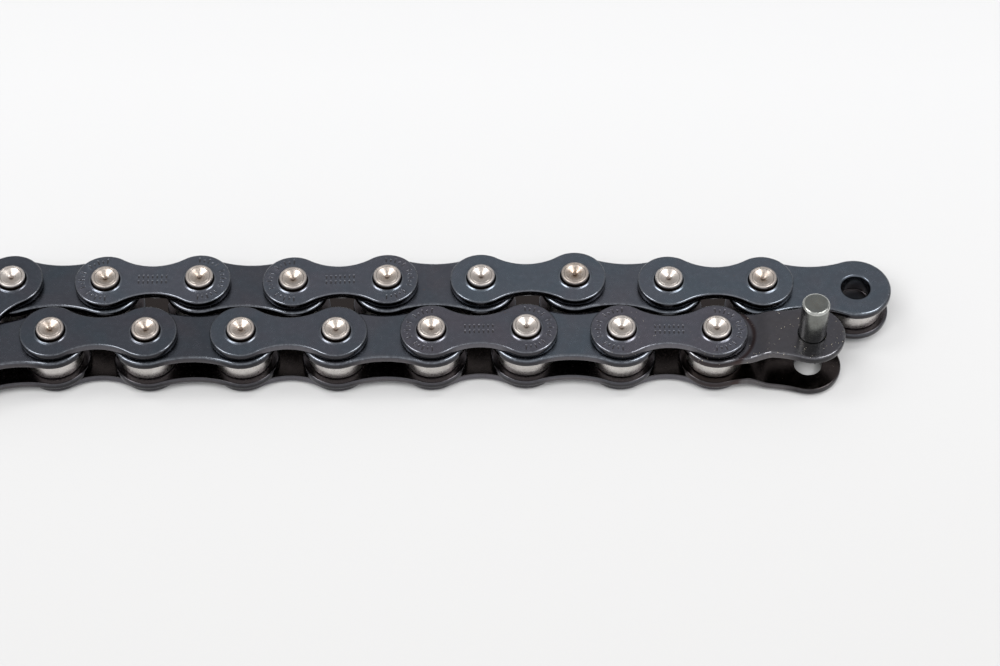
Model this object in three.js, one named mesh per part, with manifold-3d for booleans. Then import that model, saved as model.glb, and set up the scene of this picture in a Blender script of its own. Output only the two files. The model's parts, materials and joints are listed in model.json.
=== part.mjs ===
// Roller chain, 1/2 inch pitch, laid doubled back on itself on a flat surface.
// Units are millimetres, +Z is up, +X runs along the two strands towards the
// free ends. The plates lie flat, so every pin and roller axis is vertical.
// The origin is at the centre of the chain's footprint, on the surface the
// pin ends stand on.
//
// One run of chain: back strand (links 1 to 9), fold link, front strand
// (links 9 to 1). Link 1 of the back strand ends in an open inner link, link 1
// of the front strand is a cranked half link whose connecting pin stands
// loose in its upper plate.

import * as THREE from 'three';
import { mergeVertices } from 'three/addons/utils/BufferGeometryUtils.js';
import Module from 'manifold-3d';

// ---------------------------------------------------------------- dimensions
const PITCH = 12.7;            // pin centre to pin centre
const PLATE_T = 1.1;           // thickness of every plate
const INNER_WIDTH = 3.4;       // between the two inner plates
const PLATE_GAP = 0.12;        // running gap between inner and outer plates
const PIN_LENGTH = 9.6;
const PIN_R = 1.8;             // shank radius
const PIN_CRATER_R = 1.25;     // mouth of the dished rivet end
const PIN_CRATER_D = 0.45;
const ROLLER_R = 3.875;
const ROLLER_BORE_R = 2.75;
const ROLLER_CLEARANCE = 0.08; // roller face to inner plate
const COLLAR_R = 2.6;          // half bush formed on each inner plate
const COLLAR_GAP = 0.2;        // between the two half bushes of a pair
const BUSH_BORE_R = 1.95;      // hole through inner plate and half bush
const OUTER_HOLE_R = 1.86;     // hole in an outer plate around the pin
const OUTER_END_R = 4.2;       // rounded end of an outer plate
const OUTER_WAIST = 2.4;       // half height at the outer plate's waist
const INNER_END_R = 4.8;
const INNER_WAIST = 3.65;
const HALF_END_R = 4.45;       // wide end of the half link
const HALF_WAIST = 3.68;
const HALF_HOLE_R = 1.87;
const CRANK_START = 4.45;      // from the narrow pin to the start of the crank
const CRANK_END = 7.4;         // and to its end
const LOOSE_PIN_LENGTH = 8.85;
const LOOSE_PIN_BASE = 6.25;   // height of the loose pin's lower face
const FACETS = 12;             // facets of every round piece

// Levels above the surface that the pin ends stand on.
const MID = PIN_LENGTH / 2;
const Z_INNER_BOTTOM = MID - INNER_WIDTH / 2 - PLATE_T;
const Z_INNER_TOP = MID + INNER_WIDTH / 2;
const Z_OUTER_BOTTOM = Z_INNER_BOTTOM - PLATE_GAP - PLATE_T;
const Z_OUTER_TOP = Z_INNER_TOP + PLATE_T + PLATE_GAP;
const CRANK = PLATE_T + PLATE_GAP;

// How the chain lies: the free end of each strand, and each link's direction
// in degrees from the left pin to the right pin, from the free end leftwards.
const BACK_END = [48.215, 5.846];
const BACK_ANGLES = [-0.92, -0.27, -3.1, 1.61, 0.19, 1.85, -1.48, 0.92, -0.53];
const FRONT_END = [41.62, -2.85];
const FRONT_ANGLES = [-2.35, -0.21, -0.91, 1.25, 0.93, -0.01, 0.06, -0.04];

// ------------------------------------------------------------------- layout
const rad = (d) => (d * Math.PI) / 180;

function pinLine(end, angles) {
  const pts = [end];
  for (const a of angles) {
    const [x, y] = pts[pts.length - 1];
    pts.push([x - PITCH * Math.cos(rad(a)), y - PITCH * Math.sin(rad(a))]);
  }
  return pts;
}

const backPins = pinLine(BACK_END, BACK_ANGLES);     // 0 is the open hole
const frontPins = pinLine(FRONT_END, FRONT_ANGLES);  // 0 is the loose pin

// The fold: one shared pin, a pitch away from both strands' last pins.
function apex(a, b) {
  const mx = (a[0] + b[0]) / 2, my = (a[1] + b[1]) / 2;
  const dx = b[0] - a[0], dy = b[1] - a[1], d = Math.hypot(dx, dy);
  const h = Math.sqrt(PITCH * PITCH - (d * d) / 4);
  const p = [mx + (h * dy) / d, my - (h * dx) / d];
  const q = [mx - (h * dy) / d, my + (h * dx) / d];
  return p[0] < q[0] ? p : q;
}
const foldPin = apex(backPins[9], frontPins[8]);

// ---------------------------------------------------------------- materials
const plateMat = (hex) => new THREE.MeshStandardMaterial({ color: hex, roughness: 0.32, metalness: 0.85 });
const newOuter = () => plateMat(0x2c3438);
const newInner = () => plateMat(0x333b42);
const newHalf = () => plateMat(0x3a383b);
const newPin = () => new THREE.MeshStandardMaterial({ color: 0xbdb4aa, roughness: 0.28, metalness: 1.0 });
const newRoller = () => new THREE.MeshStandardMaterial({ color: 0xb3aca2, roughness: 0.35, metalness: 1.0 });
const newLoose = () => new THREE.MeshStandardMaterial({ color: 0x8e9088, roughness: 0.38, metalness: 1.0 });

// ------------------------------------------------------------- solid helpers
const wasm = await Module();
wasm.setup();

function toSolid(geometry) {
  const g = geometry.clone();
  for (const name of Object.keys(g.attributes)) if (name !== 'position') g.deleteAttribute(name);
  const merged = mergeVertices(g, 1e-5);
  const index = merged.index.array;
  return new wasm.Manifold(new wasm.Mesh({
    numProp: 3,
    vertProperties: new Float32Array(merged.attributes.position.array),
    triVerts: new Uint32Array(index),
  }));
}

function toGeometry(solid) {
  const mesh = solid.getMesh();
  const g = new THREE.BufferGeometry();
  const n = mesh.vertProperties.length / mesh.numProp;
  const pos = new Float32Array(n * 3);
  for (let i = 0; i < n; i++) {
    for (let k = 0; k < 3; k++) pos[3 * i + k] = mesh.vertProperties[mesh.numProp * i + k];
  }
  g.setAttribute('position', new THREE.BufferAttribute(pos, 3));
  g.setIndex(new THREE.BufferAttribute(new Uint32Array(mesh.triVerts), 1));
  g.computeVertexNormals();
  return g;
}

// Outline of a plate whose left hole is at the origin and right hole at
// (PITCH, 0): two round ends joined by one hollow arc on each side.
function plateOutline(r1, r2, waist, endSteps = 8, waistSteps = 3) {
  let cx = PITCH / 2, rc = 10;
  for (let i = 0; i < 60; i++) {
    rc = (cx * cx + waist * waist - r1 * r1) / (2 * (r1 - waist));
    cx = (PITCH * PITCH + (r1 - r2) * (r1 + r2 + 2 * rc)) / (2 * PITCH);
  }
  const cy = waist + rc;
  const aL = Math.atan2(cy, cx);                 // tangent point on left end
  const aR = Math.atan2(cy, cx - PITCH);         // and on right end
  const pts = [];
  for (let i = 0; i <= endSteps; i++) {          // left end, anticlockwise
    const a = aL + ((2 * Math.PI - 2 * aL) * i) / endSteps;
    pts.push(new THREE.Vector2(r1 * Math.cos(a), r1 * Math.sin(a)));
  }
  const wL = Math.atan2(r1 * Math.sin(aL) - cy, r1 * Math.cos(aL) - cx);
  const wR = Math.atan2(r2 * Math.sin(aR) - cy, PITCH + r2 * Math.cos(aR) - cx);
  for (let i = 1; i < waistSteps; i++) {         // lower hollow
    const a = wL + ((wR - wL) * i) / waistSteps;
    pts.push(new THREE.Vector2(cx + rc * Math.cos(a), -(cy + rc * Math.sin(a))));
  }
  for (let i = 0; i <= endSteps; i++) {          // right end
    const a = -aR + (2 * aR * i) / endSteps;
    pts.push(new THREE.Vector2(PITCH + r2 * Math.cos(a), r2 * Math.sin(a)));
  }
  for (let i = 1; i < waistSteps; i++) {         // upper hollow
    const a = wR + ((wL - wR) * i) / waistSteps;
    pts.push(new THREE.Vector2(cx + rc * Math.cos(a), cy + rc * Math.sin(a)));
  }
  return pts;
}

function circlePath(cx, r) {
  const pts = [];
  for (let i = 0; i < FACETS; i++) {
    const a = (-2 * Math.PI * i) / FACETS;
    pts.push(new THREE.Vector2(cx + r * Math.cos(a), r * Math.sin(a)));
  }
  return new THREE.Path(pts);
}

// A flat plate from z0 up, with or without round holes.
function flatPlate(outline, z0, thickness, holes = []) {
  const shape = new THREE.Shape(outline);
  for (const [cx, r] of holes) shape.holes.push(circlePath(cx, r));
  const g = new THREE.ExtrudeGeometry(shape, { depth: thickness, bevelEnabled: false });
  g.translate(0, 0, z0);
  return g;
}

// An upright round solid turned from a profile of [radius, height] points.
function turned(profile, facets = FACETS) {
  const g = new THREE.LatheGeometry(profile.map(([r, z]) => new THREE.Vector2(r, z)), facets);
  g.rotateX(Math.PI / 2);                        // lathe axis +Y becomes +Z
  g.rotateZ(Math.PI / 2);                        // facet corners fall on +X
  return g;
}

function disc(cx, r, z0, z1) {
  return turned([[0, z0], [r, z0], [r, z1], [0, z1]]).translate(cx, 0, 0);
}

// ------------------------------------------------------------------- pieces
const outerOutline = plateOutline(OUTER_END_R, OUTER_END_R, OUTER_WAIST);
const innerOutline = plateOutline(INNER_END_R, INNER_END_R, INNER_WAIST);
const halfOutline = plateOutline(INNER_END_R, HALF_END_R, HALF_WAIST);

function outerPlateGeometry(z0) {
  return flatPlate(outerOutline, z0, PLATE_T, [[0, OUTER_HOLE_R], [PITCH, OUTER_HOLE_R]]);
}

// Riveted pin: shank with a dished crater in each end.
const pinProfile = [
  [0, PIN_CRATER_D],
  [PIN_CRATER_R, 0],
  [PIN_R, 0],
  [PIN_R, PIN_LENGTH],
  [PIN_CRATER_R, PIN_LENGTH],
  [0, PIN_LENGTH - PIN_CRATER_D],
];
const pinGeometry = () => turned(pinProfile);

// Lower outer plate with its two pins pressed in and riveted, as one piece.
function pinPlateGeometry() {
  let s = toSolid(flatPlate(outerOutline, Z_OUTER_BOTTOM, PLATE_T));
  s = s.add(toSolid(pinGeometry()));
  s = s.add(toSolid(pinGeometry().translate(PITCH, 0, 0)));
  return toGeometry(s);
}

// Inner plate with a half bush formed inwards around each hole.
function innerPlateGeometry(top) {
  const z0 = top ? Z_INNER_TOP : Z_INNER_BOTTOM;
  const c0 = top ? MID + COLLAR_GAP / 2 : z0 + PLATE_T / 2;
  const c1 = top ? z0 + PLATE_T / 2 : MID - COLLAR_GAP / 2;
  let s = toSolid(flatPlate(innerOutline, z0, PLATE_T));
  for (const cx of [0, PITCH]) s = s.add(toSolid(disc(cx, COLLAR_R, c0, c1)));
  for (const cx of [0, PITCH]) s = s.subtract(toSolid(disc(cx, BUSH_BORE_R, 0, PIN_LENGTH)));
  return toGeometry(s);
}

// Half link plate: inner level with a half bush at the narrow end (left),
// cranked outwards to the outer level at the wide end (right).
function halfPlateGeometry(top) {
  const s0 = top ? 1 : -1;
  const face = (x, z) => new THREE.Vector2(x, MID + s0 * z);
  const a = INNER_WIDTH / 2, b = a + PLATE_T;
  const side = [
    face(-8, a), face(CRANK_START + 0.11, a), face(CRANK_END + 0.11, a + CRANK), face(20, a + CRANK),
    face(20, b + CRANK), face(CRANK_END - 0.11, b + CRANK), face(CRANK_START - 0.11, b), face(-8, b),
  ];
  if (!top) side.reverse();
  const band = new THREE.ExtrudeGeometry(new THREE.Shape(side), { depth: 12, bevelEnabled: false });
  band.rotateX(Math.PI / 2).translate(0, 6, 0);
  let s = toSolid(band).intersect(toSolid(flatPlate(halfOutline, -2, 14)));
  const c0 = top ? MID + COLLAR_GAP / 2 : Z_INNER_BOTTOM + PLATE_T / 2;
  const c1 = top ? Z_INNER_TOP + PLATE_T / 2 : MID - COLLAR_GAP / 2;
  s = s.add(toSolid(disc(0, COLLAR_R, c0, c1)));
  s = s.subtract(toSolid(disc(0, BUSH_BORE_R, -1, PIN_LENGTH + 1)));
  s = s.subtract(toSolid(disc(PITCH, HALF_HOLE_R, -1, PIN_LENGTH + 1)));
  return toGeometry(s);
}

function rollerGeometry() {
  const z0 = Z_INNER_BOTTOM + PLATE_T + ROLLER_CLEARANCE;
  const z1 = Z_INNER_TOP - ROLLER_CLEARANCE;
  return turned([[ROLLER_BORE_R, z0], [ROLLER_R, z0], [ROLLER_R, z1], [ROLLER_BORE_R, z1], [ROLLER_BORE_R, z0]]);
}

// Connecting pin: plain shank, small chamfer at each flat end.
function loosePinGeometry() {
  const c = 0.2, l = LOOSE_PIN_LENGTH;
  return turned([[0, 0], [PIN_R - c, 0], [PIN_R, c], [PIN_R, l - c], [PIN_R - c, l], [0, l]]);
}

const shared = {
  outerTop: outerPlateGeometry(Z_OUTER_TOP),
  outerBottom: outerPlateGeometry(Z_OUTER_BOTTOM),
  pinPlate: pinPlateGeometry(),
  pin: pinGeometry(),
  innerTop: innerPlateGeometry(true),
  innerBottom: innerPlateGeometry(false),
  halfTop: halfPlateGeometry(true),
  halfBottom: halfPlateGeometry(false),
  roller: rollerGeometry(),
  loose: loosePinGeometry(),
};

// ------------------------------------------------------------------ assembly
const group = new THREE.Group();
group.name = 'roller_chain';

function place(parent, name, geometry, material, x = 0, z = 0) {
  const mesh = new THREE.Mesh(geometry, material);
  mesh.name = name;
  mesh.position.set(x, 0, z);
  parent.add(mesh);
  return mesh;
}

// A link's own group: origin on its left pin, +X towards its right pin.
function linkGroup(left, right) {
  const g = new THREE.Group();
  g.position.set(left[0], left[1], 0);
  g.rotation.z = Math.atan2(right[1] - left[1], right[0] - left[0]);
  group.add(g);
  return g;
}

function innerLink(name, left, right) {
  const g = linkGroup(left, right);
  place(g, `${name}_inner_plate_top`, shared.innerTop, newInner());
  place(g, `${name}_inner_plate_bottom`, shared.innerBottom, newInner());
  place(g, `${name}_roller_left`, shared.roller, newRoller());
  place(g, `${name}_roller_right`, shared.roller, newRoller(), PITCH);
}

function outerLink(name, left, right, separatePins = false) {
  const g = linkGroup(left, right);
  place(g, `${name}_outer_plate_top`, shared.outerTop, newOuter());
  if (separatePins) {
    place(g, `${name}_outer_plate_bottom`, shared.outerBottom, newOuter());
    place(g, `${name}_pin_left`, shared.pin, newPin());
    place(g, `${name}_pin_right`, shared.pin, newPin(), PITCH);
  } else {
    place(g, `${name}_pin_plate`, shared.pinPlate, newOuter());
  }
}

for (let k = 1; k <= 9; k++) {
  const link = k % 2 ? innerLink : outerLink;
  link(`back${k}`, backPins[k], backPins[k - 1]);
}
outerLink('fold', foldPin, backPins[9]);
innerLink('front9', foldPin, frontPins[8]);
for (let k = 8; k >= 2; k--) {
  const link = k % 2 ? innerLink : outerLink;
  link(`front${k}`, frontPins[k], frontPins[k - 1], k === 2);
}

const half = linkGroup(frontPins[1], frontPins[0]);
place(half, 'half_link_plate_top', shared.halfTop, newHalf());
place(half, 'half_link_plate_bottom', shared.halfBottom, newHalf());
place(half, 'half_link_roller', shared.roller, newRoller());
place(half, 'loose_connecting_pin', shared.loose, newLoose(), PITCH, LOOSE_PIN_BASE);

// Centre the footprint on the origin.
group.updateMatrixWorld(true);
const box = new THREE.Box3().setFromObject(group, true);
const centre = box.getCenter(new THREE.Vector3());
group.position.set(-centre.x, -centre.y, 0);
group.updateMatrixWorld(true);

export default group;
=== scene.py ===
"""Roller chain on a pale floor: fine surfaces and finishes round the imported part.

Every piece is made in its link's own frame in millimetres (left pin at the
origin, +X towards the right pin), then set in the row frame in metres.
"""

import json
import math
import random

import bmesh
import bpy
import numpy as np
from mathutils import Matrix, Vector
from mathutils.geometry import delaunay_2d_cdt

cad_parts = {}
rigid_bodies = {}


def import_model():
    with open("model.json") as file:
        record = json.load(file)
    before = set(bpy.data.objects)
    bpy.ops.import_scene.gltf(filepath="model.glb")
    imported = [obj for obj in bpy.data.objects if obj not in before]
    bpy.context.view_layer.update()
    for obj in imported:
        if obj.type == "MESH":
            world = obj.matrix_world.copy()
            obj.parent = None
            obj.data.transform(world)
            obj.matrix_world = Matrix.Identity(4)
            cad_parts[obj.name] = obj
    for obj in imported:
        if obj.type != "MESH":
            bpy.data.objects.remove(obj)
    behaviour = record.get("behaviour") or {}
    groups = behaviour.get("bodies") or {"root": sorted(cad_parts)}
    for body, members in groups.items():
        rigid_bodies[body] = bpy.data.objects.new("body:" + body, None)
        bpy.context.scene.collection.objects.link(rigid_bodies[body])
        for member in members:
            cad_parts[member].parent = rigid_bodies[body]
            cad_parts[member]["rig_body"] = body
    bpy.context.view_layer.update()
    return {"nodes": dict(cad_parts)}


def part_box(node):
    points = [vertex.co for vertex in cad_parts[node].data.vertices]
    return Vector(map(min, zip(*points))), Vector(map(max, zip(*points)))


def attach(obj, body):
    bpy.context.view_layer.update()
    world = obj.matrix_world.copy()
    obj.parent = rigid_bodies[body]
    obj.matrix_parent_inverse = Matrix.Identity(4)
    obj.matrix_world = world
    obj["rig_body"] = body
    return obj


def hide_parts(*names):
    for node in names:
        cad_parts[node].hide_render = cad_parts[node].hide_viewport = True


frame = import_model()

# ------------------------------------------------------------ dimensions, mm
PITCH = 12.7
PLATE_T = 1.1
MID = 4.8
Z_INNER_TOP = 6.5  # lower face of the upper inner plate
Z_OUTER_TOP = 7.72
CRANK = 1.22
PIN_LENGTH = 9.6
PIN_R = 1.8
HEAD_R = 1.87
BORE_R = 1.93  # hole through inner plate and half bush
COLLAR_R = 2.6
COLLAR_END = 4.9
ROLLER_R = 3.875
ROLLER_BORE_R = 2.72
ROLLER_Z = (3.18, 6.42)
SUPPORT = 0.07  # flat ring kept beside every rounded edge

# shape: end radius at the left pin, at the right pin, half height of the waist, steps round an end, steps along a hollow
OUTER = (4.2, 4.2, 2.4, 52, 24)
INNER = (4.8, 4.8, 3.65, 52, 22)
HALF = (4.8, 4.45, 3.68, 52, 64)


# ------------------------------------------------------------------- layout
def centre(node):
    lo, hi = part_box(node)
    return ((lo.x + hi.x) * 500.0, (lo.y + hi.y) * 500.0)


back_pins = [
    centre("back1_roller_right"),
    centre("back1_roller_left"),
    centre("back3_roller_right"),
    centre("back3_roller_left"),
    centre("back5_roller_right"),
    centre("back5_roller_left"),
    centre("back7_roller_right"),
    centre("back7_roller_left"),
    centre("back9_roller_right"),
    centre("back9_roller_left"),
]
front_pins = [
    centre("loose_connecting_pin"),
    centre("half_link_roller"),
    centre("front3_roller_right"),
    centre("front3_roller_left"),
    centre("front5_roller_right"),
    centre("front5_roller_left"),
    centre("front7_roller_right"),
    centre("front7_roller_left"),
    centre("front9_roller_right"),
]
fold_pin = centre("front9_roller_left")


# --------------------------------------------------------------- mesh making
class Shell:
    """Points in millimetres, faces, and for each point how worn its edge is and how much painted highlight it takes,
    whether it is on a wall, how much painted shade it takes where it faces into the chain or lies deep in a hole or
    groove, and its radius on a turned piece.
    """

    def __init__(self):
        self.co, self.faces = [], []
        self.wear, self.side, self.inward, self.rad = [], [], [], []

    def add(self, points, wear=0.0, side=0.0, rad=0.0, inward=0.0):
        first = len(self.co)
        points = list(points)
        self.co.extend(points)
        self.wear.extend([wear] * len(points))
        self.side.extend([side] * len(points))
        self.inward.extend([inward] * len(points))
        self.rad.extend([rad] * len(points))
        return list(range(first, first + len(points)))

    def bridge(self, a, b):
        n = len(a)
        for i in range(n):
            j = (i + 1) % n
            self.faces.append((a[i], a[j], b[j], b[i]))

    def arrays(self):
        """Closed, with the faces pointing out."""
        bm = bmesh.new()
        vs = [bm.verts.new(c) for c in self.co]
        for f in self.faces:
            bm.faces.new([vs[i] for i in f])
        bmesh.ops.recalc_face_normals(bm, faces=bm.faces[:])
        bm.verts.index_update()
        loose = [e for e in bm.edges if len(e.link_faces) != 2]
        if loose or any(not v.link_faces for v in bm.verts):
            raise ValueError(f"a piece isn't closed: {len(loose)} edges")
        faces = [[v.index for v in f.verts] for f in bm.faces]
        bm.free()
        return (
            np.array(self.co, float),
            faces,
            {
                "wear": np.array(self.wear, float),
                "side": np.array(self.side, float),
                "inward": np.array(self.inward, float),
                "rad": np.array(self.rad, float),
            },
        )


def hollow_arc(r1, r2, waist):
    cx, rc = PITCH / 2, 10.0
    for _ in range(60):
        rc = (cx * cx + waist * waist - r1 * r1) / (2 * (r1 - waist))
        cx = (PITCH * PITCH + (r1 - r2) * (r1 + r2 + 2 * rc)) / (2 * PITCH)
    return cx, rc


def outline(shape, d):
    """The plate's outline, anticlockwise, moved in by d."""
    r1, r2, waist, n_end, n_waist = shape
    cx, rc = hollow_arc(r1, r2, waist)
    cy = waist + rc
    a_left, a_right = math.atan2(cy, cx), math.atan2(cy, cx - PITCH)
    w_left = math.atan2(r1 * math.sin(a_left) - cy, r1 * math.cos(a_left) - cx)
    w_right = math.atan2(
        r2 * math.sin(a_right) - cy, PITCH + r2 * math.cos(a_right) - cx
    )
    pts = []
    for i in range(n_end + 1):
        a = a_left + (2 * math.pi - 2 * a_left) * i / n_end
        pts.append(((r1 - d) * math.cos(a), (r1 - d) * math.sin(a)))
    for i in range(1, n_waist):
        a = w_left + (w_right - w_left) * i / n_waist
        pts.append((cx + (rc + d) * math.cos(a), -(cy + (rc + d) * math.sin(a))))
    for i in range(n_end + 1):
        a = -a_right + 2 * a_right * i / n_end
        pts.append((PITCH + (r2 - d) * math.cos(a), (r2 - d) * math.sin(a)))
    for i in range(1, n_waist):
        a = w_right + (w_left - w_right) * i / n_waist
        pts.append((cx + (rc + d) * math.cos(a), cy + (rc + d) * math.sin(a)))
    return pts


def circle(cx, r, n):
    return [
        (cx + r * math.cos(2 * math.pi * i / n), r * math.sin(2 * math.pi * i / n))
        for i in range(n)
    ]


def inside(poly, pts):
    """Which of pts are inside the polygon."""
    x, y = pts[:, 0], pts[:, 1]
    hit = np.zeros(len(pts), bool)
    for (ax, ay), (bx, by) in zip(poly, np.roll(poly, -1, axis=0)):
        if ay == by:
            continue
        crosses = (ay > y) != (by > y)
        hit ^= crosses & (x < (bx - ax) * (y - ay) / (by - ay) + ax)
    return hit


def fill(shell, z, boundary, holes, spacing=0.85, bands=(), inward=0.0):
    """Fills the flat face between the boundary loop and the holes' loops with near-regular triangles. bands are rows of points across a bend."""
    loops = [boundary] + list(holes)
    ids, coords, edges = [], [], []
    for loop in loops:
        first = len(coords)
        for k, i in enumerate(loop):
            ids.append(i)
            coords.append(shell.co[i][:2])
            edges.append((first + k, first + (k + 1) % len(loop)))
    known = np.array(coords)
    outer = np.array([shell.co[i][:2] for i in boundary])
    gaps = [np.array([shell.co[i][:2] for i in h]) for h in holes]

    extra = []
    for x, ys in bands:
        extra += [(x, y) for y in ys]
    lo, hi = outer.min(0), outer.max(0)
    rows = int((hi[1] - lo[1]) / (spacing * 0.87)) + 2
    cols = int((hi[0] - lo[0]) / spacing) + 2
    grid = np.array(
        [
            (lo[0] + (c + 0.5 * (r % 2)) * spacing, lo[1] + r * spacing * 0.87)
            for r in range(rows)
            for c in range(cols)
        ]
    )
    keep = inside(outer, grid)
    for g in gaps:
        keep &= ~inside(g, grid)
    grid = grid[keep]
    taken = np.vstack([known, np.array(extra)]) if extra else known
    far = np.array([np.min(np.hypot(*(taken - p).T)) for p in grid]) > spacing * 0.42
    points = extra + [tuple(p) for p in grid[far]]
    new = shell.add([(x, y, z) for x, y in points], inward=inward)
    ids += new
    coords += points
    out = delaunay_2d_cdt(
        [Vector(c) for c in coords], edges, [], 0, 1e-7, True
    )
    vs, tris, origin = out[0], out[2], out[3]
    xy = np.array([[v[0], v[1]] for v in vs])
    mid = np.array([xy[list(t)].mean(0) for t in tris])
    ok = inside(outer, mid)
    for g in gaps:
        ok &= ~inside(g, mid)
    for t, good in zip(tris, ok):
        if good:
            shell.faces.append(tuple(ids[origin[i][0]] for i in t))


ROLL = 1.3


def edge_profile(r, z, outward, roll=1.0, steps=6):
    """(inset, height) round an edge of radius r, from the flat face at z to the wall. outward is +1 for an upper face
    and -1 for a lower one. roll stretches the round in from the edge, as the blanking punch leaves it.
    """
    made = []
    for k in range(steps + 1):
        a = math.pi / 2 * k / steps
        made.append((roll * r * (1 - math.sin(a)), z - outward * r * (1 - math.cos(a))))
    return made


def plate(shape, z0, z1, top_r, low_r, holes, marks=(), bands=None):
    """A stamped plate from z0 to z1. holes are (centre x, [(radius, height, wear)]) from the upper face through to the lower face."""
    s = Shell()

    def loop(d, z, wear, side, inward=0.0):
        return s.add(
            [(x, y, z) for x, y in outline(shape, d)], wear, side, inward=inward
        )

    top_flat = loop(top_r * ROLL + SUPPORT, z1, 0.0, 0.0)
    last = top_flat
    # the top round is lightened most a third to half of the way round, partly wear and partly a painted highlight
    for k, (d, z) in enumerate(edge_profile(top_r, z1, 1, ROLL)):
        here = loop(d, z, (0.1, 0.6, 1.0, 0.9, 0.5, 0.2, 0.1)[k], k / 6)
        s.bridge(last, here)
        last = here
    here = loop(0.0, (z0 + z1) / 2, 0.15, 1.0)
    s.bridge(last, here)
    last = here
    # the lower round is lightened, partly a painted highlight, and it takes painted shade with the lower face, as both
    # face into the chain
    for k, (d, z) in enumerate(reversed(edge_profile(low_r, z0, -1))):
        here = loop(d, z, (0.2, 0.3, 0.5, 0.6, 0.5, 0.3, 0.1)[k], 1 - k / 6, k / 6)
        s.bridge(last, here)
        last = here
    low_flat = loop(low_r + SUPPORT, z0, 0.0, 0.0, 1.0)
    s.bridge(last, low_flat)

    top_holes, low_holes = [], []
    for cx, profile in holes:
        last = None
        for r, z, wear in profile:
            # painted shade: the hole wall darkens from 0.28 mm below the upper face downwards
            here = s.add(
                [(x, y, z) for x, y in circle(cx, r, 60)],
                wear,
                inward=min(1.0, max(0.0, (z1 - z - 0.28) / 0.3)),
            )
            if last is None:
                top_holes.append(here)
            else:
                s.bridge(last, here)
            last = here
        low_holes.append(last)

    for poly in marks:
        c = np.mean(poly, axis=0)
        away = [
            np.array(p) + (np.array(p) - c) / np.linalg.norm(np.array(p) - c) * 0.07
            for p in poly
        ]
        floor = [
            np.array(p) - (np.array(p) - c) / np.linalg.norm(np.array(p) - c) * 0.03
            for p in poly
        ]
        floor_in = [c + (f - c) * 0.6 for f in floor]
        a = s.add([(x, y, z1) for x, y in away])
        # the raised burr is lightened, partly a painted highlight; painted shade darkens the groove floor
        b = s.add([(x, y, z1 + 0.022) for x, y in poly], 1.0)
        d = s.add([(x, y, z1 - 0.085) for x, y in floor], 0.0, inward=0.7)
        e = s.add([(x, y, z1 - 0.09) for x, y in floor_in], 0.0, inward=0.7)
        s.bridge(a, b)
        s.bridge(b, d)
        s.bridge(d, e)
        s.faces.append(tuple(e))
        top_holes.append(a)

    rows = []
    if bands:
        ring = outline(shape, top_r * ROLL + SUPPORT)
        low_ring = outline(shape, low_r + SUPPORT)
        for lo, hi in [bands]:
            for source, target in ((ring, "top"), (low_ring, "low")):
                picked = []
                n_end, n_waist = shape[3], shape[4]
                for i in range(1, n_waist):
                    x, y = source[n_end + i]
                    if lo < x < hi:
                        n = max(2, int(abs(2 * y) / 0.4))
                        picked.append(
                            (x, [y + (abs(2 * y)) * k / n for k in range(1, n)])
                        )
                rows.append(picked)
    fill(s, z1, top_flat, top_holes, bands=rows[0] if rows else ())
    fill(s, z0, low_flat, low_holes, bands=rows[1] if rows else (), inward=1.0)
    return s


def turned(profile, n, cx=0.0):
    """A round piece from [(radius, height, wear, side)], either from axis to axis or closed on itself."""
    s = Shell()
    rings = []
    for r, z, wear, *rest in profile:
        side = rest[0] if rest else 0.0
        points = circle(cx, r, n) if r else [(cx, 0.0)]
        rings.append(s.add([(x, y, z) for x, y in points], wear, side, r))
    closed = len(rings[0]) > 1
    pairs = list(zip(rings, rings[1:])) + ([(rings[-1], rings[0])] if closed else [])
    for a, b in pairs:
        if len(a) == 1:
            for i in range(len(b)):
                s.faces.append((a[0], b[i], b[(i + 1) % len(b)]))
        elif len(b) == 1:
            for i in range(len(a)):
                s.faces.append((a[i], a[(i + 1) % len(a)], b[0]))
        else:
            s.bridge(a, b)
    return s


# ------------------------------------------------------------------- shapes
def arc(r0, z0, r, start, stop, steps, wear):
    """Points of a quarter round about (r0, z0)."""
    made = []
    for k in range(steps + 1):
        a = math.radians(start + (stop - start) * k / steps)
        made.append((r0 + r * math.cos(a), z0 + r * math.sin(a), wear))
    return made


def outer_hole(z0, z1):
    """The riveting leaves a low rounded lip round the hole."""
    r = 1.905
    return (
        [
            (2.42, z1, 0.0),
            (2.34, z1 + 0.012, 0.0),
            # the lip's crest is lightened, partly a painted highlight
            (2.27, z1 + 0.040, 0.4),
            (2.20, z1 + 0.078, 0.8),
            (2.13, z1 + 0.108, 0.8),
            (2.06, z1 + 0.118, 0.6),
            (1.99, z1 + 0.098, 0.2),
            (r + 0.025, z1 + 0.04, 0.0),
            (r + 0.005, z1 - 0.05, 0.0),
            (r, z1 - 0.2, 0.0),
        ]
        + arc(r + 0.08, z0 + 0.08, 0.08, 180, 270, 2, 0.2)
        + [(r + 0.08 + SUPPORT, z0, 0.0)]
    )


def snug_hole(z0, z1):
    """The half link's hole, a close fit round the connecting pin."""
    r = 1.88
    return (
        [(r + 0.08 + SUPPORT, z1, 0.0)]
        + arc(r + 0.08, z1 - 0.08, 0.08, 90, 180, 3, 0.3)
        + arc(r + 0.08, z0 + 0.08, 0.08, 180, 270, 2, 0.2)
        + [(r + 0.08 + SUPPORT, z0, 0.0)]
    )


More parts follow.
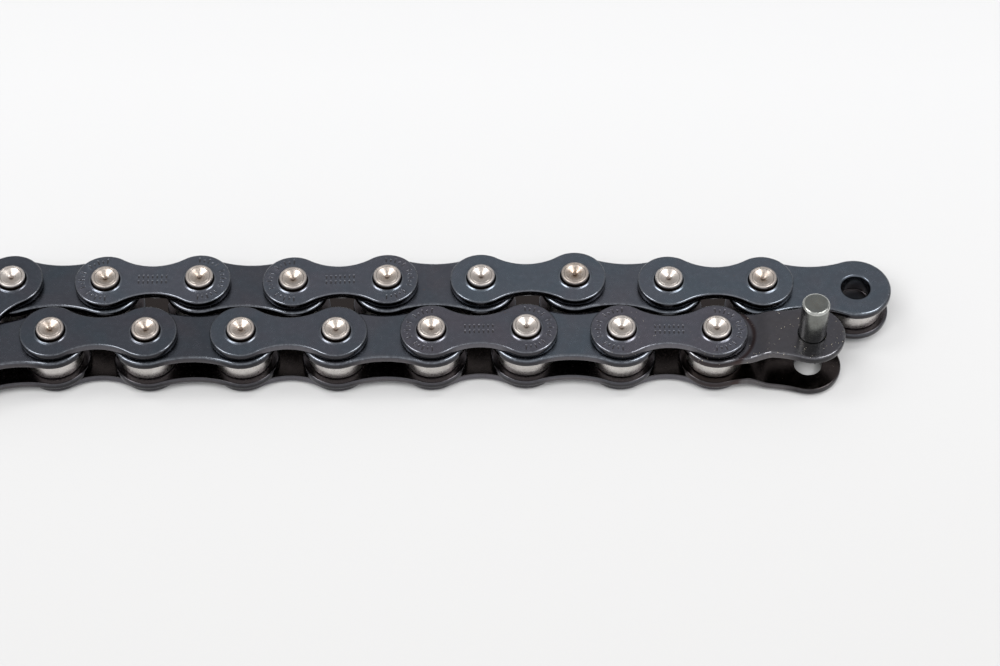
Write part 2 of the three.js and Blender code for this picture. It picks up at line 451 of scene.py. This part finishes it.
def bush_hole(z0, z1):
    """Mouth, bore, half bush end, half bush outside, fillet to the plate's lower face."""
    mouth = 0.33
    return (
        [(BORE_R + mouth + SUPPORT, z1, 0.0)]
        # the mouth's round is lightened a little, partly a painted highlight
        + arc(BORE_R + mouth, z1 - mouth, mouth, 90, 180, 6, 0.35)
        + arc(BORE_R + 0.12, COLLAR_END + 0.12, 0.12, 180, 270, 3, 0.4)
        + arc(COLLAR_R - 0.14, COLLAR_END + 0.14, 0.14, 270, 360, 3, 0.6)
        + list(reversed(arc(COLLAR_R + 0.18, z0 - 0.18, 0.18, 90, 180, 3, 0.1)))
        + [(COLLAR_R + 0.18 + SUPPORT, z0, 0.0)]
    )


def bar_mark(x, y, angle, length, width):
    """A short round-ended groove as a ring of points."""
    c, s = math.cos(angle), math.sin(angle)
    pts = []
    for k in range(10):
        side = 1 if k < 5 else -1
        a = -math.pi / 2 + math.pi * (k % 5) / 4
        lx = side * (length / 2 - width / 2 + width / 2 * math.cos(a))
        ly = side * width / 2 * math.sin(a)
        pts.append((x + c * lx - s * ly, y + s * lx + c * ly))
    return pts


def stamped_marks():
    """A plain tally of grooves: long and short radial strokes round each end, and two rows of dashes at the waist."""
    marks = []
    for cx, mid in ((0.0, 180.0), (PITCH, 0.0)):
        for k in range(-8, 9):
            if k in (-3, 3):
                continue
            a = math.radians(mid + k * 11.5)
            long = k % 2 == 0
            r = 3.21 if long else 3.10
            marks.append(
                bar_mark(
                    cx + r * math.cos(a),
                    r * math.sin(a),
                    a,
                    0.86 if long else 0.52,
                    0.2,
                )
            )
    for k in range(-3, 4):
        x = PITCH / 2 + k * 0.62
        marks.append(bar_mark(x, 0.46, math.radians(90), 0.62, 0.2))
        marks.append(bar_mark(x, -0.46, math.radians(90), 0.62, 0.2))
    return marks


def outer_plate_shell(marks=()):
    z0, z1 = Z_OUTER_TOP, Z_OUTER_TOP + PLATE_T
    return plate(
        OUTER,
        z0,
        z1,
        0.23,
        0.22,
        [(0.0, outer_hole(z0, z1)), (PITCH, outer_hole(z0, z1))],
        marks,
    )


def inner_plate_shell():
    z0, z1 = Z_INNER_TOP, Z_INNER_TOP + PLATE_T
    return plate(
        INNER,
        z0,
        z1,
        0.36,
        0.30,
        [(0.0, bush_hole(z0, z1)), (PITCH, bush_hole(z0, z1))],
    )


def half_plate_shell():
    """Inner level at the left end, bent up to the outer level towards the right end."""
    z0, z1 = Z_INNER_TOP, Z_INNER_TOP + PLATE_T
    s = plate(
        HALF,
        z0,
        z1,
        0.32,
        0.25,
        [(0.0, bush_hole(z0, z1)), (PITCH, snug_hole(z0, z1))],
        bands=(3.6, 8.3),
    )

    def ramp(x, a, b):
        t = min(1.0, max(0.0, (x - a) / (b - a)))
        return CRANK * t * t * (3 - 2 * t)

    co = []
    for x, y, z in s.co:
        if x > 3.0:
            h = min(1.0, max(0.0, (z - z0) / PLATE_T))
            low, high = ramp(x, 4.29, 7.78), ramp(x, 4.07, 7.56)
            z += low + (high - low) * h
        co.append((x, y, z))
    s.co = co
    return s


def riveted_pin_shell():
    # the fourth column paints shade: on the shank under the head, in the head's ring groove and in the crater's centre;
    # the wear column lightens the rim, partly a painted highlight
    top = [
        (0.0, -0.58, 0.0, 0.85),
        (0.10, -0.57, 0.0, 0.85),
        (0.20, -0.53, 0.0, 0.8),
        (0.29, -0.47, 0.0, 0.6),
        (0.36, -0.42, 0.1, 0.3),
        (0.44, -0.375, 0.2, 0.1),
        (0.60, -0.31, 0.0),
        (0.85, -0.22, 0.0),
        (1.10, -0.128, 0.0),
        (1.28, -0.062, 0.0),
        (1.37, -0.03, 0.2),
        (1.41, -0.024, 0.3),
        (1.435, -0.06, 0.0, 0.7),
        (1.47, -0.062, 0.0, 0.7),
        (1.50, -0.012, 0.2),
        (1.54, 0.0, 0.2),
        (1.63, 0.0, 0.2),
        (1.70, -0.008, 0.6),
        (1.76, -0.032, 1.0),
        (1.81, -0.078, 1.0),
        (1.845, -0.14, 1.0),
        (1.863, -0.22, 0.6, 0.1),
        (HEAD_R, -0.30, 0.2, 0.6),
        (HEAD_R, -0.38, 0.0, 1.0),
        (HEAD_R, -0.58, 0.0, 1.0),
        (HEAD_R - 0.01, -0.70, 0.0, 1.0),
        (HEAD_R - 0.03, -0.78, 0.0, 1.0),
        (PIN_R, -0.86, 0.0, 1.0),
        (PIN_R, -1.6, 0.0, 0.5),
    ]
    up = [(r, PIN_LENGTH + z, *w) for r, z, *w in top]
    down = [(r, -z, *w) for r, z, *w in reversed(top)]
    return turned(up + [(PIN_R, MID, 0.0)] + down, 64)


def loose_pin_shell():
    z0, z1, r = 6.25, 15.1, 1.84
    # the chamfer takes the bright colour, partly a painted highlight; the fourth column paints the shank a little
    # darker, painted shade
    up = [
        (0.0, z1 - 0.014, 0.0),
        (0.8, z1 - 0.008, 0.0),
        (r - 0.33, z1, 0.0),
        (r - 0.29, z1 - 0.004, 0.6),
        (r - 0.24, z1 - 0.026, 1.0),
        (r - 0.15, z1 - 0.078, 1.0),
        (r - 0.07, z1 - 0.145, 1.0),
        (r - 0.02, z1 - 0.225, 1.0),
        (r, z1 - 0.32, 0.4),
        (r, z1 - 0.5, 0.0, 0.3),
        (r, z1 - 1.2, 0.0, 0.3),
    ]
    down = [(r_, z0 + (z1 - z), *w) for r_, z, *w in reversed(up)]
    return turned(up + [(r, (z0 + z1) / 2, 0.0, 0.3)] + down, 72)


def roller_shell():
    z0, z1 = ROLLER_Z
    e, b = 0.3, 0.12
    # the rounded edges are lightened, partly wear and partly a painted highlight
    profile = (
        arc(ROLLER_R - e, z1 - e, e, 90, 0, 5, 0.7)
        + [(ROLLER_R, (z0 + z1) / 2, 0.0)]
        + arc(ROLLER_R - e, z0 + e, e, 0, -90, 5, 0.7)
        + arc(ROLLER_BORE_R + b, z0 + b, b, 270, 180, 2, 0.3)
        + arc(ROLLER_BORE_R + b, z1 - b, b, 180, 90, 2, 0.3)
    )
    return turned(profile, 80)


shapes = {
    "outer": outer_plate_shell().arrays(),
    "outer_marked": outer_plate_shell(stamped_marks()).arrays(),
    "inner": inner_plate_shell().arrays(),
    "half": half_plate_shell().arrays(),
    "pin": riveted_pin_shell().arrays(),
    "loose": loose_pin_shell().arrays(),
    "roller": roller_shell().arrays(),
}


# ---------------------------------------------------------------- materials
class Nodes:
    """Small helper for node trees."""

    def __init__(self, name):
        self.material = bpy.data.materials.new(name)
        self.material.use_nodes = True
        self.tree = self.material.node_tree
        self.tree.nodes.clear()
        out = self.make("OutputMaterial")
        self.shader = self.make("BsdfPrincipled")
        self.link(self.shader.outputs["BSDF"], out.inputs["Surface"])
        coord = self.make("TexCoord")
        scaled = self.make("VectorMath", operation="SCALE")
        scaled.inputs["Scale"].default_value = 1000.0
        self.link(coord.outputs["Object"], scaled.inputs[0])
        self.mm = scaled.outputs[0]

    def make(self, kind, **values):
        n = self.tree.nodes.new("ShaderNode" + kind)
        for k, v in values.items():
            setattr(n, k, v)
        return n

    def link(self, a, b):
        self.tree.links.new(a, b)

    def put(self, socket, value):
        if isinstance(value, bpy.types.NodeSocket):
            self.link(value, socket)
        else:
            socket.default_value = value

    def attribute(self, name):
        return self.make("Attribute", attribute_name=name).outputs["Fac"]

    def stretch(self, vector, x, y, z, turn=0.0):
        m = self.make("Mapping")
        m.inputs["Rotation"].default_value = (0, 0, math.radians(turn))
        m.inputs["Scale"].default_value = (x, y, z)
        self.link(vector, m.inputs["Vector"])
        return m.outputs[0]

    def noise(self, vector, scale, detail=3.0, roughness=0.5, distortion=0.0):
        n = self.make("TexNoise")
        self.link(vector, n.inputs["Vector"])
        n.inputs["Scale"].default_value = scale
        n.inputs["Detail"].default_value = detail
        n.inputs["Roughness"].default_value = roughness
        n.inputs["Distortion"].default_value = distortion
        return n.outputs["Fac"]

    def range(self, value, a, b, c, d):
        n = self.make("MapRange", clamp=True)
        self.link(value, n.inputs["Value"])
        for k, v in zip(("From Min", "From Max", "To Min", "To Max"), (a, b, c, d)):
            n.inputs[k].default_value = v
        return n.outputs[0]

    def math(self, kind, a, b=0.0):
        n = self.make("Math", operation=kind)
        self.put(n.inputs[0], a)
        self.put(n.inputs[1], b)
        return n.outputs[0]

    def mix(self, factor, a, b, blend="MIX"):
        n = self.make("Mix", data_type="RGBA", blend_type=blend)
        self.put(n.inputs[0], factor)
        for socket, v in ((n.inputs[6], a), (n.inputs[7], b)):
            self.put(socket, v if isinstance(v, bpy.types.NodeSocket) else (*v, 1.0))
        return n.outputs[2]

    def specks(self, scale, size, share):
        """Sparse small round specks: 1 on a speck."""
        v = self.make("TexVoronoi", feature="F1")
        self.link(self.mm, v.inputs["Vector"])
        v.inputs["Scale"].default_value = scale
        near = self.range(v.outputs["Distance"], size * 0.6, size, 1.0, 0.0)
        split = self.make("SeparateColor")
        self.link(v.outputs["Color"], split.inputs[0])
        chosen = self.math("LESS_THAN", split.outputs[0], share)
        return self.math("MULTIPLY", near, chosen)

    def bump(self, height, strength, distance, normal=None):
        b = self.make("Bump")
        b.inputs["Strength"].default_value = strength
        b.inputs["Distance"].default_value = distance
        self.link(height, b.inputs["Height"])
        if normal is not None:
            self.link(normal, b.inputs["Normal"])
        return b.outputs[0]


def plate_material(name, cool, warm, wall, inside_shade_colour, edge, rough, crease=0.0):
    """Blackened steel: cool and brownish tones in soft clouds, fine mottle, hair scratches, dust specks, polished
    brighter edges that are partly a painted highlight, painted shade darkening the walls of the round ends, and painted
    shade in dark brown where it faces into the chain.
    """
    n = Nodes(name)
    s = n.shader
    tone = n.attribute("tone")
    warmth = n.attribute("warmth")
    wear = n.attribute("wear")
    side = n.attribute("side")
    inward = n.attribute("inward")
    clouds = n.noise(n.mm, 0.16, 3.0, 0.55, 0.6)
    mottle = n.noise(n.mm, 1.5, 5.0, 0.62)
    grain = n.noise(n.mm, 16.0, 3.0, 0.6)
    share = n.math("ADD", warmth, n.range(clouds, 0.3, 0.7, -0.35, 0.35))
    base = n.mix(n.range(share, 0.0, 1.0, 0.0, 1.0), cool, warm)

    # hair scratches in three directions
    lines = []
    for turn, threshold in ((24.0, 0.69), (-38.0, 0.70), (83.0, 0.71)):
        fine = n.noise(n.stretch(n.mm, 0.35, 26.0, 1.0, turn), 1.0, 2.0, 0.5)
        lines.append(n.range(fine, threshold, threshold + 0.05, 0.0, 1.0))
    scratch = n.math("MAXIMUM", n.math("MAXIMUM", lines[0], lines[1]), lines[2])
    base = n.mix(n.math("MULTIPLY", scratch, 0.15), base, edge)

    streak = n.noise(n.stretch(n.mm, 14.0, 14.0, 0.6), 1.0, 3.0, 0.6)
    wall_streaks_and_shade = n.mix(
        n.range(streak, 0.3, 0.7, 0.0, 1.0),
        tuple(c * 0.85 for c in wall),
        tuple(c * 1.2 for c in wall),
    )
    # painted shade: the walls of the round ends are painted darker than at the waist
    along = n.attribute("along")
    off_middle = n.math("ABSOLUTE", n.math("SUBTRACT", along, PITCH / 2), 0.0)
    end_wall_shade = n.range(off_middle, 2.8, 4.6, 0.0, 0.8)
    wall_streaks_and_shade = n.mix(end_wall_shade, wall_streaks_and_shade, (0.020, 0.019, 0.021))
    base = n.mix(side, base, wall_streaks_and_shade)

    shade = n.range(mottle, 0.25, 0.75, 0.91, 1.09)
    shade = n.math("MULTIPLY", shade, tone)
    grey = n.make("CombineColor")
    for i in range(3):
        n.link(shade, grey.inputs[i])
    base = n.mix(1.0, base, grey.outputs[0], "MULTIPLY")

    # rubbed edges, broken up: worn metal lightened towards the edge colour, partly a painted highlight
    rub_and_highlight = n.range(n.noise(n.mm, 2.6, 4.0, 0.65), 0.3, 0.72, 0.1, 0.85)
    rub_and_highlight = n.math("MULTIPLY", n.math("POWER", wear, 1.6), rub_and_highlight)
    base = n.mix(n.math("MULTIPLY", rub_and_highlight, 0.62), base, edge)
    if crease:
        # a dark brown arc band across the bend, just outside the neighbouring outer plate's end
        place = n.make("CombineXYZ")
        n.link(along, place.inputs[0])
        n.link(n.attribute("across"), place.inputs[1])
        far = n.make("VectorMath", operation="LENGTH")
        n.link(place.outputs[0], far.inputs[0])
        bend = n.math(
            "MULTIPLY",
            n.range(far.outputs["Value"], 4.65, 4.95, 0.0, crease),
            n.range(far.outputs["Value"], 5.15, 5.45, 1.0, 0.0),
        )
        base = n.mix(bend, base, (0.040, 0.022, 0.020))
    # painted shade: faces into the chain, the deep part of the holes and the groove floors take the dark brown colour
    base = n.mix(inward, base, inside_shade_colour)

    dust = n.specks(1.3, 0.06, 0.12)
    rust = n.specks(0.55, 0.07, 0.10)
    base = n.mix(n.math("MULTIPLY", dust, 0.55), base, (0.46, 0.46, 0.46))
    base = n.mix(n.math("MULTIPLY", rust, 0.45), base, (0.25, 0.14, 0.08))
    sand = n.math("MAXIMUM", n.specks(1.7, 0.13, 0.45), n.specks(2.6, 0.15, 0.4))
    swept = n.range(n.noise(n.mm, 0.3, 2.0, 0.5), 0.44, 0.56, 0.1, 1.0)
    sand = n.math("MULTIPLY", n.math("MULTIPLY", sand, swept), n.attribute("grit"))
    base = n.mix(sand, base, (0.80, 0.72, 0.56))
    n.link(base, s.inputs["Base Color"])
    s.inputs["Metallic"].default_value = 1.0

    roughness = n.range(mottle, 0.3, 0.75, rough - 0.04, rough + 0.06)
    roughness = n.math(
        "ADD", roughness, n.math("MULTIPLY", n.range(grain, 0.3, 0.7, -1.0, 1.0), 0.02)
    )
    polish = n.math("MAXIMUM", side, wear)
    roughness = n.math("SUBTRACT", roughness, n.math("MULTIPLY", polish, 0.11))
    roughness = n.math("ADD", roughness, n.math("MULTIPLY", dust, 0.3))
    roughness = n.math("ADD", roughness, n.math("MULTIPLY", sand, 0.4))
    n.link(roughness, s.inputs["Roughness"])

    waves = n.noise(n.mm, 0.55, 2.0, 0.4)
    normal = n.bump(waves, 0.30, 0.00004)
    normal = n.bump(grain, 0.09, 0.000006, normal)
    normal = n.bump(scratch, 0.20, 0.000006, normal)
    normal = n.bump(n.math("MULTIPLY", streak, side), 0.2, 0.00001, normal)
    normal = n.bump(sand, 0.6, 0.00003, normal)
    n.link(normal, s.inputs["Normal"])
    return n.material


def steel_material(
    name, tone_a, tone_b, stain, dark, rough, axis_marks, ring_marks, bright=None
):
    """Bare turned steel. axis_marks is the strength of the fine lines round a cylinder, ring_marks of the rings on an
    end face. Where side is 1 the colour is painted dark brown, painted shade on the shank under a rivet head, in its
    ring groove and crater centre, and on the loose pin's shank. Worn edges are lightened, partly a painted highlight.
    """
    n = Nodes(name)
    s = n.shader
    wear = n.attribute("wear")
    side = n.attribute("side")
    rad = n.attribute("rad")
    tone = n.attribute("tone")
    rusty = n.attribute("warmth")
    clouds = n.noise(n.mm, 0.7, 4.0, 0.6, 0.4)
    mottle = n.noise(n.mm, 3.2, 4.0, 0.6)
    base = n.mix(n.range(clouds, 0.35, 0.68, 0.0, 1.0), tone_a, tone_b)
    base = n.mix(n.range(mottle, 0.55, 0.8, 0.0, 0.30), base, stain)

    z_lines = n.noise(n.stretch(n.mm, 0.25, 0.25, 7.0), 1.0, 4.0, 0.7)
    vec = n.make("CombineXYZ")
    n.link(rad, vec.inputs[0])
    rings = n.noise(n.stretch(vec.outputs[0], 16.0, 1.0, 1.0), 1.0, 3.0, 0.6)
    lines = n.math("MULTIPLY", z_lines, axis_marks)
    lines = n.math("ADD", lines, n.math("MULTIPLY", rings, ring_marks))
    dark_lines = n.range(z_lines, 0.52, 0.75, 0.0, 0.45 * min(1.0, axis_marks))
    base = n.mix(dark_lines, base, stain)
    # worn rims and chamfers are lightened, partly a painted highlight
    base = n.mix(
        n.math("MULTIPLY", n.math("MULTIPLY", wear, mottle), 1.5 if bright else 0.6),
        base,
        bright or tuple(min(0.88, c * 1.3) for c in tone_a),
    )
    shade = n.make("CombineColor")
    for i in range(3):
        n.link(tone, shade.inputs[i])
    base = n.mix(1.0, base, shade.outputs[0], "MULTIPLY")
    near_middle = n.range(rad, 0.5, 1.35, 1.0, 0.0)
    blotch = n.range(n.noise(n.mm, 4.5, 3.0, 0.6), 0.42, 0.6, 0.0, 1.0)
    blotch = n.math("MULTIPLY", n.math("MULTIPLY", blotch, near_middle), rusty)
    base = n.mix(n.math("MULTIPLY", rusty, 0.45), base, (0.56, 0.44, 0.34))
    base = n.mix(blotch, base, (0.34, 0.20, 0.09))
    # painted shade: dark brown where side is set
    base = n.mix(side, base, dark)
    n.link(base, s.inputs["Base Color"])
    s.inputs["Metallic"].default_value = 1.0

    roughness = n.range(mottle, 0.3, 0.72, rough - 0.04, rough + 0.06)
    roughness = n.math(
        "ADD", roughness, n.math("MULTIPLY", n.range(lines, 0.2, 0.8, -1.0, 1.0), 0.03)
    )
    n.link(roughness, s.inputs["Roughness"])
    grain = n.noise(n.mm, 20.0, 2.0, 0.6)
    normal = n.bump(lines, 0.20, 0.000010)
    normal = n.bump(grain, 0.08, 0.000004, normal)
    n.link(normal, s.inputs["Normal"])
    return n.material


materials = {
    "outer": plate_material(
        "blackened_outer_plate",
        (0.133, 0.160, 0.192),
        (0.163, 0.158, 0.186),
        (0.122, 0.118, 0.132),
        (0.066, 0.056, 0.053),
        (0.48, 0.51, 0.55),
        0.25,
    ),
    "inner": plate_material(
        "blackened_inner_plate",
        (0.133, 0.160, 0.192),
        (0.166, 0.161, 0.186),
        (0.098, 0.090, 0.096),
        (0.095, 0.085, 0.089),
        (0.50, 0.54, 0.59),
        0.25,
    ),
    "half": plate_material(
        "blackened_half_link",
        (0.146, 0.150, 0.174),
        (0.168, 0.156, 0.162),
        (0.130, 0.122, 0.126),
        (0.058, 0.048, 0.046),
        (0.50, 0.51, 0.54),
        0.20,
        0.8,
    ),
    "pin": steel_material(
        "riveted_steel",
        (0.86, 0.80, 0.74),
        (0.78, 0.70, 0.64),
        (0.52, 0.41, 0.33),
        (0.085, 0.055, 0.038),
        0.31,
        0.1,
        0.6,
    ),
    "roller": steel_material(
        "roller_steel",
        (0.64, 0.62, 0.60),
        (0.54, 0.52, 0.495),
        (0.22, 0.19, 0.165),
        (0.10, 0.08, 0.07),
        0.28,
        1.0,
        0.2,
    ),
    "loose": steel_material(
        "ground_pin_steel",
        (0.252, 0.276, 0.264),
        (0.190, 0.206, 0.198),
        (0.14, 0.13, 0.11),
        (0.08, 0.07, 0.06),
        0.22,
        0.9,
        0.4,
        (0.78, 0.80, 0.76),
    ),
}


# ------------------------------------------------------------------- pieces
seeded = random.Random(41)

# how bright and how brown each link's plates are
LOOKS = {
    "back1": (1.06, 0.2),
    "back2": (1.11, 0.15),
    "back3": (1.00, 0.4),
    "back4": (1.10, 0.2),
    "back5": (0.84, 0.5),
    "back6": (1.03, 0.55),
    "back7": (0.74, 0.6),
    "back8": (1.04, 0.5),
    "back9": (0.72, 0.3),
    "fold": (0.72, 0.4),
    "front9": (0.68, 0.5),
    "front8": (0.72, 0.4),
    "front7": (0.64, 0.5),
    "front6": (0.88, 0.4),
    "front5": (0.85, 0.5),
    "front4": (0.96, 0.95),
    "front3": (1.04, 0.3),
    "front2": (1.02, 0.9),
    "half_link": (0.79, 0.5),
}
GRIT = {"half_link_top": 1.0, "front2_plate_top": 0.45, "half_link_low": 0.15}
RUSTY = {
    "back4_rivet_right": 0.9,
    "back6_rivet_left": 0.45,
    "back6_rivet_right": 0.5,
    "back8_rivet_left": 0.7,
    "back8_rivet_right": 0.6,
    "back2_rivet_right": 0.6,
    "front4_rivet_left": 0.4,
    "front6_rivet_left": 0.6,
    "front6_rivet_right": 0.4,
    "front8_rivet_left": 0.7,
    "front8_rivet_right": 0.6,
}


def piece(name, shape, finish, node, left, right, x=0.0, flip=False):
    """One piece of a link whose pins are at left and right; flip turns it over about the chain's middle plane."""
    co, faces, marks = shapes[shape]
    along, across = co[:, 0].copy(), co[:, 1].copy()
    co = co.copy()
    co[:, 0] += x
    if flip:
        co[:, 2] = 2 * MID - co[:, 2]
        faces = [f[::-1] for f in faces]
    a = math.atan2(right[1] - left[1], right[0] - left[0])
    c, s = math.cos(a), math.sin(a)
    world = np.column_stack(
        [
            left[0] + c * co[:, 0] - s * co[:, 1],
            left[1] + s * co[:, 0] + c * co[:, 1],
            co[:, 2],
        ]
    )
    mesh = bpy.data.meshes.new(name)
    mesh.from_pydata((world / 1000.0).tolist(), [], faces)
    mesh.polygons.foreach_set("use_smooth", [True] * len(mesh.polygons))
    for key, values in marks.items():
        mesh.attributes.new(key, "FLOAT", "POINT").data.foreach_set(
            "value", values.astype(np.float32)
        )
    look = next((v for k, v in LOOKS.items() if name.startswith(k + "_")), None)
    chance = seeded.random()
    if finish in ("outer", "inner", "half"):
        tone, warmth = look[0] * (0.98 + 0.04 * chance), look[1]
    else:
        tone, warmth = 0.94 + 0.1 * chance, RUSTY.get(name, 0.12)
    grit = GRIT.get(name, 0.0)
    for key, value in (("tone", tone), ("warmth", warmth), ("grit", grit)):
        mesh.attributes.new(key, "FLOAT", "POINT").data.foreach_set(
            "value", np.full(len(co), value, np.float32)
        )
    for key, values in (("along", along), ("across", across)):
        mesh.attributes.new(key, "FLOAT", "POINT").data.foreach_set(
            "value", values.astype(np.float32)
        )
    mesh.materials.append(materials[finish])
    mesh.update()
    o = bpy.data.objects.new(name, mesh)
    bpy.context.scene.collection.objects.link(o)
    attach(o, frame["nodes"][node]["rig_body"])
    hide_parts(node)
    return o


MARKED = {"back6", "back8", "front2", "front4"}


def inner_link(name, left, right):
    piece(f"{name}_plate_top", "inner", "inner", f"{name}_inner_plate_top", left, right)
    piece(
        f"{name}_plate_low",
        "inner",
        "inner",
        f"{name}_inner_plate_bottom",
        left,
        right,
        flip=True,
    )
    for end, x in (("left", 0.0), ("right", PITCH)):
        piece(
            f"{name}_steel_roller_{end}",
            "roller",
            "roller",
            f"{name}_roller_{end}",
            left,
            right,
            x,
        )


def outer_link(name, left, right):
    own_pins = f"{name}_pin_left" in frame["nodes"]
    low = f"{name}_outer_plate_bottom" if own_pins else f"{name}_pin_plate"
    piece(
        f"{name}_plate_top",
        "outer_marked" if name in MARKED else "outer",
        "outer",
        f"{name}_outer_plate_top",
        left,
        right,
    )
    piece(f"{name}_plate_low", "outer", "outer", low, left, right, flip=True)
    for end, x in (("left", 0.0), ("right", PITCH)):
        piece(
            f"{name}_rivet_{end}",
            "pin",
            "pin",
            f"{name}_pin_{end}" if own_pins else low,
            left,
            right,
            x,
        )


for k in range(1, 10):
    link = inner_link if k % 2 else outer_link
    link(f"back{k}", back_pins[k], back_pins[k - 1])
outer_link("fold", fold_pin, back_pins[9])
inner_link("front9", fold_pin, front_pins[8])
for k in range(8, 1, -1):
    link = inner_link if k % 2 else outer_link
    link(f"front{k}", front_pins[k], front_pins[k - 1])

half = (front_pins[1], front_pins[0])
piece("half_link_top", "half", "half", "half_link_plate_top", *half)
piece("half_link_low", "half", "half", "half_link_plate_bottom", *half, flip=True)
piece("half_link_steel_roller", "roller", "roller", "half_link_roller", *half)
piece("connecting_pin", "loose", "loose", "loose_connecting_pin", *half, x=PITCH)


# --------------------------------------------------------- floor and light
def floor():
    mesh = bpy.data.meshes.new("floor")
    w = 3.0
    mesh.from_pydata([(-w, -w, 0), (w, -w, 0), (w, w, 0), (-w, w, 0)], [], [(0, 1, 2, 3)])
    m = bpy.data.materials.new("pale_floor")
    m.use_nodes = True
    t = m.node_tree
    b = t.nodes["Principled BSDF"]
    coord = t.nodes.new("ShaderNodeTexCoord")
    split = t.nodes.new("ShaderNodeSeparateXYZ")
    falloff_ramp = t.nodes.new("ShaderNodeMapRange")
    paint = t.nodes.new("ShaderNodeMix")
    paint.data_type = "RGBA"
    t.links.new(coord.outputs["Object"], split.inputs[0])
    t.links.new(split.outputs["Y"], falloff_ramp.inputs["Value"])
    # painted shade: the floor colour is darker towards the camera, standing in for light falling off
    for key, value in (("From Min", -0.06), ("From Max", 0.05)):
        falloff_ramp.inputs[key].default_value = value
    t.links.new(falloff_ramp.outputs[0], paint.inputs[0])
    paint.inputs[6].default_value = (0.490, 0.488, 0.484, 1)
    paint.inputs[7].default_value = (0.575, 0.575, 0.575, 1)
    t.links.new(paint.outputs[2], b.inputs["Base Color"])
    b.inputs["Roughness"].default_value = 1.0
    b.inputs["Specular IOR Level"].default_value = 0.0
    mesh.materials.append(m)
    o = bpy.data.objects.new("floor", mesh)
    bpy.context.scene.collection.objects.link(o)


floor()


def softbox(name, position, target, size_x, size_y, radiance, glossy=True):
    light = bpy.data.lights.new(name, "AREA")
    light.shape = "RECTANGLE"
    light.size, light.size_y = size_x, size_y
    light.energy = radiance * math.pi * size_x * size_y
    o = bpy.data.objects.new(name, light)
    o.location = position
    o.rotation_euler = (
        (Vector(target) - Vector(position)).to_track_quat("-Z", "Y").to_euler()
    )
    o.visible_camera = False
    o.visible_glossy = glossy
    bpy.context.scene.collection.objects.link(o)


softbox("softbox_left", (-0.43, 0.05, 0.86), (0, 0, 0), 0.27, 0.38, 5.2)
softbox("softbox_right", (0.43, 0.05, 0.86), (0, 0, 0), 0.27, 0.38, 4.9)
softbox("front_fill", (0.0, -0.45, 0.80), (0, 0, 0), 1.0, 0.30, 11.0, glossy=False)

# soft surroundings: darker behind, lighter from the front
world = bpy.data.worlds.new("studio")
bpy.context.scene.world = world
world.use_nodes = True
wt = world.node_tree
wt.nodes.clear()
w_out = wt.nodes.new("ShaderNodeOutputWorld")
w_bg = wt.nodes.new("ShaderNodeBackground")
w_coord = wt.nodes.new("ShaderNodeTexCoord")
w_split = wt.nodes.new("ShaderNodeSeparateXYZ")
w_side = wt.nodes.new("ShaderNodeMapRange")
w_mix = wt.nodes.new("ShaderNodeMix")
w_side.interpolation_type = "SMOOTHSTEP"
w_mix.data_type = "RGBA"
wt.links.new(w_coord.outputs["Generated"], w_split.inputs[0])
for key, value in (("From Min", 0.2), ("From Max", -0.35)):
    w_side.inputs[key].default_value = value
wt.links.new(w_split.outputs["Y"], w_side.inputs["Value"])
wt.links.new(w_side.outputs[0], w_mix.inputs[0])
for socket, stops in (
    (6, ((0.0, 0.30), (0.45, 0.36), (0.79, 0.50), (1.0, 0.44))),
    (7, ((0.0, 0.50), (0.5, 0.55), (0.8, 0.85), (1.0, 0.44))),
):
    r = wt.nodes.new("ShaderNodeValToRGB")
    wt.links.new(w_split.outputs["Z"], r.inputs[0])
    for k, (at, level) in enumerate(stops):
        if k == 0:
            e = r.color_ramp.elements[0]
            e.position = at
        elif k == len(stops) - 1:
            e = r.color_ramp.elements[-1]
            e.position = at
        else:
            e = r.color_ramp.elements.new(at)
        e.color = (level, level, level * 1.02, 1)
    wt.links.new(r.outputs["Color"], w_mix.inputs[socket])
wt.links.new(w_mix.outputs[2], w_bg.inputs["Color"])
wt.links.new(w_bg.outputs[0], w_out.inputs["Surface"])

bpy.context.scene.view_settings.view_transform = "Standard"
bpy.context.scene.view_settings.look = "None"

# ------------------------------------------------------------------- camera
shift = Vector((back_pins[0][0] - 48.215, back_pins[0][1] - 5.846)) / 1000.0
elevation, distance = math.radians(52.5), 0.374965
target = Vector((shift.x, shift.y, 0.005))
forward = Vector((0, math.cos(elevation), -math.sin(elevation)))
camera = bpy.data.cameras.new("camera")
camera.lens, camera.sensor_width = 100.0, 36.0
camera.clip_start, camera.clip_end = 0.01, 20.0
camera_object = bpy.data.objects.new("camera", camera)
camera_object.location = target - forward * distance
camera_object.rotation_euler = (math.pi / 2 - elevation, 0, 0)
bpy.context.scene.collection.objects.link(camera_object)
bpy.context.scene.camera = camera_object
